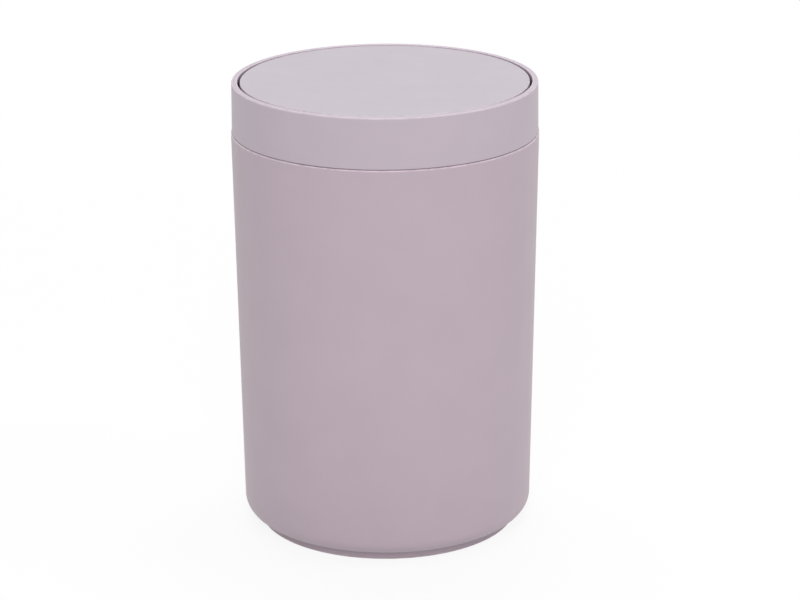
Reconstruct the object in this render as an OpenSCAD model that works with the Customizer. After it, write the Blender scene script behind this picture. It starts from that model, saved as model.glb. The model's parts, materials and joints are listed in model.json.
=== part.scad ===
// Countertop trash can with a swing lid: a tapered round bucket, a collar that plugs into its
// mouth, and a flush round flap that swings on two pins and is brought back by a counterweight.
// Millimetres, +Z up. The origin is the centre of the foot ring's underside, and the pivot
// runs along X, so the flap's front edge is the one towards -Y.

/* [Bin body] */
// Outer radius of the body at its mouth
rim_r = 70.65; // [66:0.05:78]
// Outer radius of the body just above its bottom corner
base_r = 67.7; // [63:0.1:70]
// Height of the body, from the foot to the rim
body_h = 188.4; // [150:0.1:240]
// Thickness of the body's wall
wall = 2.0; // [1.6:0.1:2.6]
// Thickness of the body's floor
floor_t = 2.2; // [1.6:0.1:4]
// Outer radius of the bottom corner
corner_r = 7.0; // [4:0.1:12]
// Rounding of the rim's outer edge
rim_round = 0.5; // [0.2:0.1:0.9]

/* [Foot] */
// Height of the foot ring under the floor
foot_h = 4.0; // [2:0.1:8]
// How far the foot ring stands in from the body's bottom radius
foot_inset = 7.3; // [5:0.1:14]
// Width of the foot ring
foot_w = 3.0; // [2:0.1:6]
// Rounding of the foot ring's edges
foot_round = 0.6; // [0.2:0.1:0.9]
// Number of ribs under the floor
base_ribs = 8; // [4:1:12]
// Thickness of a rib under the floor
base_rib_t = 1.4; // [1:0.1:2.5]
// How far a rib reaches down from the floor
base_rib_h = 2.0; // [1:0.1:3]
// Radius of the moulding gate's ring under the floor
gate_r = 9.0; // [6:0.5:16]

/* [Collar] */
// Height of the collar's visible wall
collar_h = 23.0; // [18:0.1:32]
// How far the collar's wall stands in from the body's rim
collar_step = 0.4; // [0.1:0.05:1.2]
// How much narrower the collar is at its top than at the seam
collar_draft = 0.25; // [0:0.05:1]
// Thickness of the collar's wall
collar_wall = 2.0; // [1.6:0.1:2.5]
// Width of the flat land around the flap
land_w = 2.7; // [2.6:0.1:4]
// Thickness of that land
land_h = 3.0; // [2:0.1:5]
// Rounding of the collar's top outer edge
top_round = 0.8; // [0.3:0.1:1.2]
// Rounding of the small edges around the gap and the seam
edge_round = 0.4; // [0.2:0.05:0.6]
// Height of the shadow groove between the collar and the rim
seam_gap = 0.4; // [0.2:0.05:1]
// Width of the collar's seat, from the skirt out to the shadow groove
seat_w = 1.2; // [0.9:0.1:1.4]
// Thickness of the shelf that joins the collar's wall to its skirt
shelf_t = 2.0; // [1.4:0.1:3]
// How far the skirt reaches into the body
skirt_h = 14.0; // [8:0.5:24]
// Thickness of the skirt
skirt_t = 1.5; // [1.2:0.1:2]
// Clearance between the skirt and the body's wall
skirt_fit = 0.3; // [0.2:0.05:0.5]

/* [Flap] */
// Gap between the flap and the collar's land
flap_gap = 1.1; // [0.9:0.1:2]
// How far the flap lies below the collar's top
flap_sink = 0.1; // [0:0.05:1]
// Thickness of the flap's disc
panel_t = 2.0; // [1.6:0.1:2.6]
// Height of the lip around the flap, from its top face
lip_h = 5.0; // [4:0.1:5.6]
// Thickness of the lip
lip_t = 1.6; // [1.2:0.1:2.4]
// Half the width of the notch in the lip at each pivot
notch_half = 8.0; // [7:0.1:12]
// Radius of the stiffening ring under the disc, measured in from the flap's edge
rib_ring_inset = 21.0; // [17:0.5:30]
// Number of straight ribs under the disc, an even one so that none meets a pivot
rib_count = 6; // [2:2:12]
// Thickness of a stiffening rib
rib_t = 1.2; // [0.8:0.1:2]
// How far a stiffening rib reaches down from the disc
rib_h = 2.0; // [1:0.1:2.4]

/* [Pivot] */
// Depth of the pivot below the flap's top face
pivot_drop = 8.0; // [7.6:0.1:9]
// How far the flap swings each way before it meets its stop, in degrees
swing = 85; // [75:1:88]
// Clearance left at the stop
stop_fit = 0.15; // [0.1:0.05:0.3]
// Radius of a pivot pin
pin_r = 1.5; // [1.2:0.05:1.8]
// Running clearance between a pin and its bush, on the radius
pin_fit = 0.05; // [0.02:0.01:0.1]
// Radius of a pin's head
pin_head_r = 2.6; // [2.2:0.1:3]
// Thickness of a pin's head
pin_head_t = 1.0; // [0.6:0.1:1.5]
// Outer radius of a bush
bush_r = 3.0; // [2.6:0.05:3.4]
// Radius of a bush's flange
bush_flange_r = 4.2; // [3.8:0.1:4.8]
// Thickness of a bush's flange
bush_flange_t = 0.6; // [0.4:0.1:1]
// Clearance between a bush and its cradle
bush_fit = 0.02; // [0.01:0.01:0.05]
// Wall of the cradle around a bush
cradle_wall = 1.6; // [1.2:0.1:2]
// How far a cradle stands in from the collar's inner wall
cradle_len = 6.0; // [4.5:0.1:7]
// How far a cradle's bore stops short of the collar's inner wall
cradle_end = 1.0; // [0.6:0.1:2]
// How much narrower the cradle's mouth is than the bush it holds, on each side
snap_grip = 0.4; // [0.2:0.05:0.6]
// Side play between the carrier and each bush
end_play = 0.5; // [0.3:0.05:0.8]

/* [Carrier] */
// Width of the carrier across the pivot
carrier_w = 28.0; // [25:0.5:32]
// Thickness of the carrier's plate
plate_t = 2.4; // [2:0.1:3]
// Gap between the disc and the plate, bridged by the disc's bosses
boss_h = 3.0; // [2.6:0.1:3.2]
// Thickness of the carrier's side walls
side_t = 1.6; // [1.2:0.1:2.4]
// How far the side and end walls reach below the pivot
side_drop = 4.0; // [3:0.1:6]
// Thickness of the carrier's end walls, which hold the pins
lug_t = 3.5; // [2.5:0.1:5]
// Radius of the eye around each pin
eye_r = 4.0; // [3:0.1:4.6]
// Room around a pin in the window through which it is pushed into its eye
window_room = 0.4; // [0.2:0.1:1]

/* [Counterweight] */
// Length of the steel bar
weight_l = 72.0; // [50:0.5:76]
// Width of the steel bar
weight_w = 14.0; // [10:0.5:15]
// Thickness of the steel bar
weight_t = 6.0; // [4:0.1:9]
// Depth of the bar's top face below the pivot
weight_drop = 8.0; // [5:0.1:14]
// Chamfer along the bar's long edges
weight_chamfer = 0.6; // [0.2:0.1:1.2]
// Clearance between the bar and its pocket
pocket_fit = 0.3; // [0.2:0.05:0.5]
// Thickness of the pocket's walls
pocket_wall = 1.8; // [1.4:0.1:2.4]
// Number of ribs that the bar is pressed against
rest_ribs = 3; // [2:1:5]
// Thickness of the cover's plate
cover_t = 1.8; // [1.4:0.1:3]
// How far the cover's pad reaches up into the pocket
cover_pad_h = 0.8; // [0.4:0.1:1.5]

/* [Screws] */
// Core radius of a screw
screw_r = 1.25; // [1:0.05:1.5]
// Clearance around a screw where it passes through, on the radius
screw_fit = 0.35; // [0.2:0.05:0.5]
// Radius of a screw's head
head_r = 2.8; // [2.4:0.1:3.2]
// Height of a screw's head
head_h = 1.8; // [1.4:0.1:2.2]
// Width of the cross recess in a head
recess_w = 0.8; // [0.5:0.1:1]
// Depth of the cross recess
recess_d = 1.0; // [0.6:0.1:1.3]
// Length of a screw's shank
screw_l = 6.0; // [5:0.1:6.2]
// Room left past a screw's tip in its blind hole
tip_room = 0.3; // [0.2:0.05:0.5]
// Wall of a screw boss around its hole
boss_wall = 1.8; // [1.4:0.1:2.2]
// Distance of the carrier's screws from the pin walls, along the pivot
screw_inset = 7.0; // [6:0.1:9]
// Distance of the carrier's screws from the pivot's plane
screw_side = 7.0; // [6:0.1:8]

/* [Hidden] */
$fn = 96;

// A sliver that cuts reach past a face, and joined shapes reach into each other
eps = 0.01;
lavender = [0.74, 0.68, 0.74];
steel = [0.72, 0.73, 0.75];
acetal = [0.93, 0.93, 0.91];

// Body
draft = (rim_r - base_r) / (body_h - foot_h - corner_r);
inner_rim_r = rim_r - wall;
inner_base_r = base_r - wall;
inner_corner_r = max(corner_r - wall, 1);
floor_z = foot_h + floor_t;
foot_r = base_r - foot_inset;

// Collar
collar_z = body_h + seam_gap;
top_z = collar_z + collar_h;
collar_low_r = rim_r - collar_step;
collar_top_r = collar_low_r - collar_draft;
collar_in_r = collar_top_r - collar_wall;
land_in_r = collar_top_r - land_w;
skirt_r = inner_rim_r - skirt_fit;
skirt_low_r = skirt_r - draft * skirt_h;
shelf_z = body_h + shelf_t;

// Flap
flap_r = land_in_r - flap_gap;
flap_z = top_z - flap_sink;
under_z = flap_z - panel_t;
lip_z = flap_z - lip_h;
lip_in_r = flap_r - lip_t;
rib_ring_r = flap_r - rib_ring_inset;
notch_x = sqrt(pow(lip_in_r, 2) - pow(notch_half, 2)) - lip_t / 2;

// Pivot, with stations counted along X
pivot_z = flap_z - pivot_drop;
cradle_x = collar_in_r - cradle_len;
cradle_end_x = collar_in_r - cradle_end;
cradle_r = bush_r + cradle_wall;
flange_x = cradle_x - bush_flange_t;
lug_x = flange_x - end_play;
lug_in_x = lug_x - lug_t;
pin_tip_x = cradle_end_x - end_play;
pin_l = pin_tip_x - lug_in_x + pin_head_t;
// The stop post is as wide as the lip's lower edge allows at the end of the swing
lip_above_pivot = pivot_drop - lip_h;
post_half = notch_half * cos(swing) + lip_above_pivot * sin(swing) - stop_fit;

// Carrier
plate_z = under_z - boss_h;
plate_low_z = plate_z - plate_t;
side_z = pivot_z - side_drop;

// Counterweight and its pocket
weight_top_z = pivot_z - weight_drop;
weight_z = weight_top_z - weight_t;
pocket_l = weight_l + 2 * pocket_fit;
pocket_w = weight_w + 2 * pocket_fit;
pocket_z = weight_z - cover_pad_h;
cover_z = pocket_z - cover_t;

// Screws
boss_r = screw_r + boss_wall;
cover_screw_x = pocket_l / 2 + boss_r;
carrier_screw_x = lug_in_x - screw_inset;

// The waste outside a rounded corner at [x, z]; out_x and out_z say which way is outwards.
module corner_waste(x, z, r, out_x, out_z) {
  translate([x - out_x * r, z - out_z * r])
    scale([out_x, out_z])
      difference() {
        square(r + eps);
        circle(r = r);
      }
}

// Puts its children at each of the four corners of a rectangle around the pivot.
module at_corners(x, y) {
  for (sx = [-1, 1], sy = [-1, 1])
    translate([sx * x, sy * y, 0]) children();
}

// A flat oblong with round ends, from one end's centre to the other's.
module oblong(half_l, r) {
  square([2 * half_l, 2 * r], center = true);
  for (s = [-1, 1])
    translate([s * half_l, 0]) circle(r = r);
}

// A pan-head screw whose head hangs down from z = 0 and whose shank points up.
module screw() {
  difference() {
    rotate_extrude()
      difference() {
        translate([0, -head_h]) square([head_r, head_h]);
        corner_waste(head_r, -head_h, head_h / 2, 1, -1);
      }
    for (a = [0, 90])
      rotate([0, 0, a])
        translate([-head_r * 0.6, -recess_w / 2, -head_h - eps])
          cube([head_r * 1.2, recess_w, recess_d + eps]);
  }
  cylinder(r = screw_r, h = screw_l - screw_r);
  translate([0, 0, screw_l - screw_r]) cylinder(r1 = screw_r, r2 = screw_r / 3, h = screw_r);
}

// Half section of the body's outside, foot ring left out.
module body_outside() {
  translate([base_r - corner_r, foot_h + corner_r]) circle(r = corner_r);
  polygon([
    [0, foot_h],
    [base_r - corner_r, foot_h],
    [base_r - corner_r, foot_h + corner_r],
    [base_r, foot_h + corner_r],
    [rim_r, body_h],
    [0, body_h]
  ]);
}

// Half section of the body's hollow.
module body_hollow() {
  translate([inner_base_r - inner_corner_r, floor_z + inner_corner_r]) circle(r = inner_corner_r);
  polygon([
    [0, floor_z],
    [inner_base_r - inner_corner_r, floor_z],
    [inner_base_r - inner_corner_r, floor_z + inner_corner_r],
    [inner_base_r, floor_z + inner_corner_r],
    [inner_rim_r, body_h],
    [inner_rim_r, body_h + 1],
    [0, body_h + 1]
  ]);
}

// Half section of the foot ring, which reaches up into the floor.
module foot_section() {
  difference() {
    translate([foot_r - foot_w, 0]) square([foot_w, foot_h + floor_t / 2]);
    corner_waste(foot_r, 0, foot_round, 1, -1);
    corner_waste(foot_r - foot_w, 0, foot_round, -1, -1);
  }
}

// Ribs from the gate ring out to the foot ring, under the floor.
module floor_ribs() {
  low_z = foot_h - base_rib_h;
  high = base_rib_h + floor_t / 2;
  for (i = [0 : base_ribs - 1])
    rotate([0, 0, (i + 0.5) * 360 / base_ribs])
      translate([gate_r - base_rib_t / 2, -base_rib_t / 2, low_z])
        cube([foot_r - foot_w / 2 - gate_r, base_rib_t, high]);
  translate([0, 0, low_z])
    difference() {
      cylinder(r = gate_r, h = high);
      translate([0, 0, -eps]) cylinder(r = gate_r - base_rib_t, h = base_rib_h + eps);
    }
}

module bin_body() {
  color(lavender) {
    rotate_extrude()
      difference() {
        union() {
          body_outside();
          foot_section();
        }
        body_hollow();
        corner_waste(rim_r, body_h, rim_round, 1, 1);
        corner_waste(inner_rim_r, body_h, rim_round / 2, -1, 1);
      }
    floor_ribs();
  }
}

// Half section of the collar: wall, land, shelf, seat and skirt.
module collar_section() {
  difference() {
    polygon([
      [skirt_low_r - skirt_t, body_h - skirt_h],
      [skirt_low_r, body_h - skirt_h],
      [skirt_r, body_h],
      [skirt_r + seat_w, body_h],
      [skirt_r + seat_w, collar_z],
      [collar_low_r, collar_z],
      [collar_top_r, top_z],
      [land_in_r, top_z],
      [land_in_r, top_z - land_h],
      [collar_in_r, top_z - land_h - (collar_in_r - land_in_r)],
      [collar_in_r, shelf_z],
      [skirt_r - skirt_t, shelf_z],
      [skirt_r - skirt_t, body_h]
    ]);
    corner_waste(collar_top_r, top_z, top_round, 1, 1);
    corner_waste(land_in_r, top_z, edge_round, -1, 1);
    corner_waste(collar_low_r, collar_z, edge_round, 1, -1);
    corner_waste(skirt_low_r, body_h - skirt_h, skirt_t / 2, 1, -1);
  }
}

// The cradle for one bush, on its post, on the +X side.
module cradle() {
  sunk = collar_wall / 2;
  difference() {
    union() {
      translate([cradle_x, 0, pivot_z])
        rotate([0, 90, 0]) cylinder(r = cradle_r, h = cradle_len + sunk);
      translate([cradle_x, -post_half, shelf_z - sunk])
        cube([cradle_len + sunk, 2 * post_half, pivot_z - shelf_z + sunk]);
    }
    translate([cradle_x - 1, 0, pivot_z])
      rotate([0, 90, 0]) cylinder(r = bush_r + bush_fit, h = cradle_end_x - cradle_x + 1);
    translate([cradle_x - 1, -(bush_r - snap_grip), pivot_z])
      cube([cradle_end_x - cradle_x + 1, 2 * (bush_r - snap_grip), cradle_r + 1]);
  }
}

module collar() {
  color(lavender) {
    rotate_extrude() collar_section();
    for (a = [0, 180])
      rotate([0, 0, a]) cradle();
  }
}

// The bush on the +X side: a flanged sleeve, bored through.
module bearing_bush() {
  color(acetal)
    translate([flange_x, 0, pivot_z])
      rotate([0, 90, 0])
        rotate_extrude()
          difference() {
            union() {
              square([bush_flange_r, bush_flange_t]);
              square([bush_r, cradle_end_x - flange_x - bush_fit]);
            }
            translate([0, -1]) square([pin_r + pin_fit, cradle_end_x - flange_x + 2]);
            corner_waste(bush_flange_r, 0, bush_flange_t / 2, 1, -1);
          }
}

module bearing_bush_right() {
  bearing_bush();
}

module bearing_bush_left() {
  rotate([0, 0, 180]) bearing_bush();
}

// Stiffening ribs under the disc: a ring, and straight ribs that keep clear of the pivots.
module panel_ribs() {
  high = rib_h + panel_t / 2;
  translate([0, 0, under_z - rib_h]) {
    difference() {
      cylinder(r = rib_ring_r + rib_t / 2, h = high);
      translate([0, 0, -1]) cylinder(r = rib_ring_r - rib_t / 2, h = rib_h + 1);
    }
    for (i = [0 : rib_count - 1])
      rotate([0, 0, (i + 0.5) * 360 / rib_count])
        translate([0, -rib_t / 2, 0]) cube([flap_r - lip_t / 2, rib_t, high]);
  }
}

module flap_panel() {
  color(lavender)
    difference() {
      union() {
        rotate_extrude()
          difference() {
            translate([0, lip_z]) square([flap_r, lip_h]);
            translate([-1, lip_z - 1]) square([lip_in_r + 1, under_z - lip_z + 1]);
            corner_waste(flap_r, flap_z, edge_round, 1, 1);
          }
        panel_ribs();
        at_corners(carrier_screw_x, screw_side)
          translate([0, 0, plate_z]) cylinder(r = boss_r, h = boss_h + panel_t / 2);
      }
      for (a = [0, 180])
        rotate([0, 0, a])
          translate([notch_x, -notch_half, lip_z - 1]) cube([flap_r, 2 * notch_half, under_z - lip_z + 1]);
      at_corners(carrier_screw_x, screw_side)
        translate([0, 0, plate_z - eps])
          cylinder(r = screw_r, h = screw_l - plate_t + tip_room + eps);
    }
}

// The plate with its side walls and end walls, like a shallow tray turned over.
module carrier_tray() {
  difference() {
    translate([-lug_x, -carrier_w / 2, side_z])
      cube([2 * lug_x, carrier_w, plate_z - side_z]);
    translate([-lug_in_x, -carrier_w / 2 + side_t, side_z - 1])
      cube([2 * lug_in_x, carrier_w - 2 * side_t, plate_low_z - side_z + 1]);
  }
  for (s = [-1, 1])
    translate([s * (lug_x + lug_in_x) / 2, 0, pivot_z])
      rotate([0, 90, 0]) cylinder(r = eye_r, h = lug_t, center = true);
}

// The open-bottomed pocket, with the ribs that the bar is pressed against.
module weight_pocket() {
  high = plate_low_z - pocket_z + plate_t / 2;
  outer_l = pocket_l + 2 * pocket_wall;
  outer_w = pocket_w + 2 * pocket_wall;
  difference() {
    translate([-outer_l / 2, -outer_w / 2, pocket_z]) cube([outer_l, outer_w, high]);
    translate([-pocket_l / 2, -pocket_w / 2, pocket_z - 1])
      cube([pocket_l, pocket_w, plate_low_z - pocket_z + 1]);
  }
  for (i = [1 : rest_ribs])
    translate([(i / (rest_ribs + 1) - 0.5) * pocket_l - side_t / 2, -outer_w / 2, weight_top_z])
      cube([side_t, outer_w, plate_low_z - weight_top_z + plate_t / 2]);
  for (s = [-1, 1])
    translate([s * cover_screw_x, 0, pocket_z]) cylinder(r = boss_r, h = high);
}

module flap_carrier() {
  color(lavender)
    difference() {
      union() {
        carrier_tray();
        weight_pocket();
      }
      for (s = [-1, 1]) {
        translate([s * (lug_x + lug_in_x) / 2, 0, pivot_z])
          rotate([0, 90, 0]) cylinder(r = pin_r, h = lug_t + 2, center = true);
        translate([s * cover_screw_x, 0, pocket_z - eps])
          cylinder(r = screw_r, h = screw_l - cover_t + tip_room + eps);
      }
      at_corners(carrier_screw_x, screw_side)
        translate([0, 0, plate_low_z - 1]) cylinder(r = screw_r + screw_fit, h = plate_t + 2);
      for (a = [0, 180])
        rotate([0, 0, a])
          translate([lug_in_x - pin_l - window_room, -pin_head_r - window_room, plate_low_z - 1])
            cube([pin_l + window_room, 2 * (pin_head_r + window_room), plate_t + 2]);
    }
}

// The pin on the +X side: its head bears on the end wall, its tip runs in the bush.
module pivot_pin() {
  color(steel)
    translate([lug_in_x, 0, pivot_z])
      rotate([0, 90, 0])
        rotate_extrude()
          difference() {
            union() {
              translate([0, -pin_head_t]) square([pin_head_r, pin_head_t]);
              square([pin_r, pin_tip_x - lug_in_x]);
            }
            corner_waste(pin_head_r, -pin_head_t, pin_head_t / 2, 1, -1);
            corner_waste(pin_r, pin_tip_x - lug_in_x, pin_r / 3, 1, 1);
          }
}

module pivot_pin_right() {
  pivot_pin();
}

module pivot_pin_left() {
  rotate([0, 0, 180]) pivot_pin();
}

module counterweight() {
  c = weight_chamfer;
  w = weight_w / 2;
  color(steel)
    translate([-weight_l / 2, 0, weight_z])
      rotate([90, 0, 90])
        linear_extrude(height = weight_l)
          polygon([
            [-w + c, 0], [w - c, 0], [w, c], [w, weight_t - c],
            [w - c, weight_t], [-w + c, weight_t], [-w, weight_t - c], [-w, c]
          ]);
}

module weight_cover() {
  color(lavender)
    difference() {
      union() {
        translate([0, 0, cover_z])
          linear_extrude(height = cover_t)
            oblong(cover_screw_x - (pocket_w / 2 + pocket_wall - boss_r), pocket_w / 2 + pocket_wall);
        translate([-weight_l / 2, -weight_w / 2, pocket_z - eps])
          cube([weight_l, weight_w, cover_pad_h + eps]);
      }
      for (s = [-1, 1])
        translate([s * cover_screw_x, 0, cover_z - 1])
          cylinder(r = screw_r + screw_fit, h = cover_t + 2);
    }
}

module carrier_screws() {
  color(steel)
    at_corners(carrier_screw_x, screw_side)
      translate([0, 0, plate_low_z]) screw();
}

module cover_screws() {
  color(steel)
    for (s = [-1, 1])
      translate([s * cover_screw_x, 0, cover_z]) screw();
}

bin_body();
collar();
bearing_bush_left();
bearing_bush_right();
flap_panel();
flap_carrier();
pivot_pin_left();
pivot_pin_right();
counterweight();
weight_cover();
carrier_screws();
cover_screws();
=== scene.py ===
"""Looks of a small round countertop bin with a flush, counterweighted swing flap.

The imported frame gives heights, the pivot and the places of the fitted pieces; radii, walls and
roundings are fields of the classes below. Shapes are modelled in millimetres and become metres
when a piece is finished. +Z is up, the front is towards -Y and the flap swings about X.
"""
from __future__ import annotations

import json
import logging
import math
from collections.abc import Iterable, Mapping, Sequence
from dataclasses import dataclass, field
from enum import Enum
from functools import cache, reduce

import bmesh
import bpy
from mathutils import Matrix, Vector


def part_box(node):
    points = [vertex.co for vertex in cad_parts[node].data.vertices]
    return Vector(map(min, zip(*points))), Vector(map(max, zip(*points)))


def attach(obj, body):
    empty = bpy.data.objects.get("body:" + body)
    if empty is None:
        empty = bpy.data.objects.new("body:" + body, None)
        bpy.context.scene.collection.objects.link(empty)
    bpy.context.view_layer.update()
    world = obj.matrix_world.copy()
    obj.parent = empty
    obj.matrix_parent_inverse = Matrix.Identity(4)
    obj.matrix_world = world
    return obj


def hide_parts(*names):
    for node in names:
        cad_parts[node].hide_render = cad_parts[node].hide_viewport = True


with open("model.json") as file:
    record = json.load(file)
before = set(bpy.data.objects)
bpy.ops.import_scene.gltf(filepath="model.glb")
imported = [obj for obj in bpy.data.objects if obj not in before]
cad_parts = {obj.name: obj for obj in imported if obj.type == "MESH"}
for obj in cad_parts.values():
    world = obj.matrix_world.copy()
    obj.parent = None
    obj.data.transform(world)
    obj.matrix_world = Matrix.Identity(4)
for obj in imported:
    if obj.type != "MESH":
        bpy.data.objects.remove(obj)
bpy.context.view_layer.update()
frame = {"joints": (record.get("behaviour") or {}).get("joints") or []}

LOG = logging.getLogger("bin")

MM_IN_M = 1000.0
CM_IN_M = 100.0
FULL_TURN = 360.0
RIGHT_ANGLE = 90.0
# Steps of a full turn: the bin's shells, the gate ring and the cradles, small hardware, and the
# point of a screw's recess
SHELL_STEPS = 256
RING_STEPS = 96
SMALL_STEPS = 48
POINT_STEPS = 24
# Steps of a tight rounding, and how many more one of 1 mm has
ARC_STEPS = 4
# Distance from a rounding to the ring that keeps the flat beside it flat in shading, and the
# length from which an edge gets such a ring, in mm
SUPPORT = 0.5
SUPPORTED = 2.0
# Points closer than this are one point, in mm
WELD = 0.0004
# Edges that turn by more than this stay crisp
CRISP = math.radians(38)
# How far cutters and roots reach past the face that they meet, in mm
REACH = 1.0
# A root's step out of the plane that it would otherwise share, in mm
HAIR = 0.01
# Roundings in mm: an edge that is only broken, a bore's, a fine one, a thin tip's, a moulded
# edge's and a root's
BROKEN_EDGE = 0.1
BORE_EDGE = 0.15
FINE_EDGE = 0.2
TIP_EDGE = 0.25
MOULDED_EDGE = 0.3
ROOT_FILLET = 0.4
# Rounding of a pin's end and radius of a screw's point, as shares of the shank's radius
BLUNT = 1 / 3

Point = tuple[float, float, float]
Place = tuple[float, float]
Colour = tuple[float, float, float]


class Body(Enum):
    """The frame's bodies that a piece can ride on."""

    BIN = "bin"
    LID = "lid"
    FLAP = "flap"


class Slot(Enum):
    """The record's material slots."""

    BODY = "body_plastic"
    COLLAR = "collar_plastic"
    FLAP = "flap_plastic"
    CARRIER = "carrier_plastic"
    BUSH = "bush_plastic"
    PIN = "pin_steel"
    WEIGHT = "weight_steel"
    SCREW = "screw_steel"


class Operation(Enum):
    """What a boolean step does with its tools."""

    JOIN = "UNION"
    CUT = "DIFFERENCE"


class Side(Enum):
    """The two ends of the pivot, as turns about Z in degrees."""

    RIGHT = 0.0
    LEFT = 180.0


class Axis(Enum):
    """The three axes."""

    X = "X"
    Y = "Y"
    Z = "Z"


class End(Enum):
    """The lowest and the highest corner of a box."""

    LOW = 0
    HIGH = 1


def node_box(node: str) -> tuple[Vector, Vector]:
    """Measure a frame node.

    Args:
        node: The node's name.

    Returns:
        Its lowest and highest corners, in millimetres.
    """
    low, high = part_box(node)
    return low * MM_IN_M, high * MM_IN_M


def measured(node: str, end: End, axis: Axis) -> float:
    """Make a dataclass field that takes its value from the frame.

    Args:
        node: The frame node that is measured.
        end: The corner of its box.
        axis: The corner's coordinate.

    Returns:
        The field, which holds a number of millimetres.
    """
    return field(default_factory=lambda: getattr(node_box(node)[end.value], axis.name.lower()))


def pivot_height() -> float:
    """Return the height of the flap's pivot, in millimetres."""
    swing = next(joint for joint in frame["joints"] if joint["child"] == Body.FLAP.value)
    return swing["pos_m"][2] * MM_IN_M


# ---------------------------------------------------------------------------
# Shapes


@dataclass(frozen=True)
class Corner:
    """A corner of an outline and the radius that rounds it, in millimetres."""

    x: float
    z: float
    r: float = 0.0

    @property
    def steps(self) -> int:
        """Return the number of steps that draw the rounding smoothly."""
        return ARC_STEPS + round(ARC_STEPS * math.sqrt(self.r))


@dataclass(frozen=True)
class Outline:
    """A chain of corners in the XZ plane, each rounded as it says."""

    corners: Sequence[Corner]
    closed: bool = False

    def wire(self) -> bmesh.types.BMesh:
        """Draw the outline.

        Returns:
            A bmesh that holds it as edges, with a support point beside each rounding.
        """
        bm = bmesh.new()
        verts = [bm.verts.new((corner.x, 0.0, corner.z)) for corner in self.corners]
        ends = verts[1:] + verts[:1] if self.closed else verts[1:]
        for start, end in zip(verts, ends):
            bm.edges.new((start, end))
        arcs: set[bmesh.types.BMVert] = set()
        for vert, corner in zip(verts, self.corners):
            if corner.r > 0.0:
                made = bmesh.ops.bevel(
                    bm, geom=[vert], offset=corner.r, offset_type="OFFSET", segments=corner.steps,
                    profile=0.5, affect="VERTICES", material=-1)
                arcs.update(made["verts"])
        self._support(bm, arcs)
        return bm

    @staticmethod
    def _support(bm: bmesh.types.BMesh, arcs: set[bmesh.types.BMVert]) -> None:
        """Split each long edge that leaves a rounding, close to it.

        Args:
            bm: The drawn outline.
            arcs: The points of its roundings.
        """
        for edge in bm.edges[:]:
            rounded = [vert for vert in edge.verts if vert in arcs]
            if edge.calc_length() < SUPPORTED:
                continue
            for vert in rounded:
                made = bmesh.utils.edge_split(edge, vert, SUPPORT / edge.calc_length())[1]
                edge = next(other for other in made.link_edges if vert not in other.verts)


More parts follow.
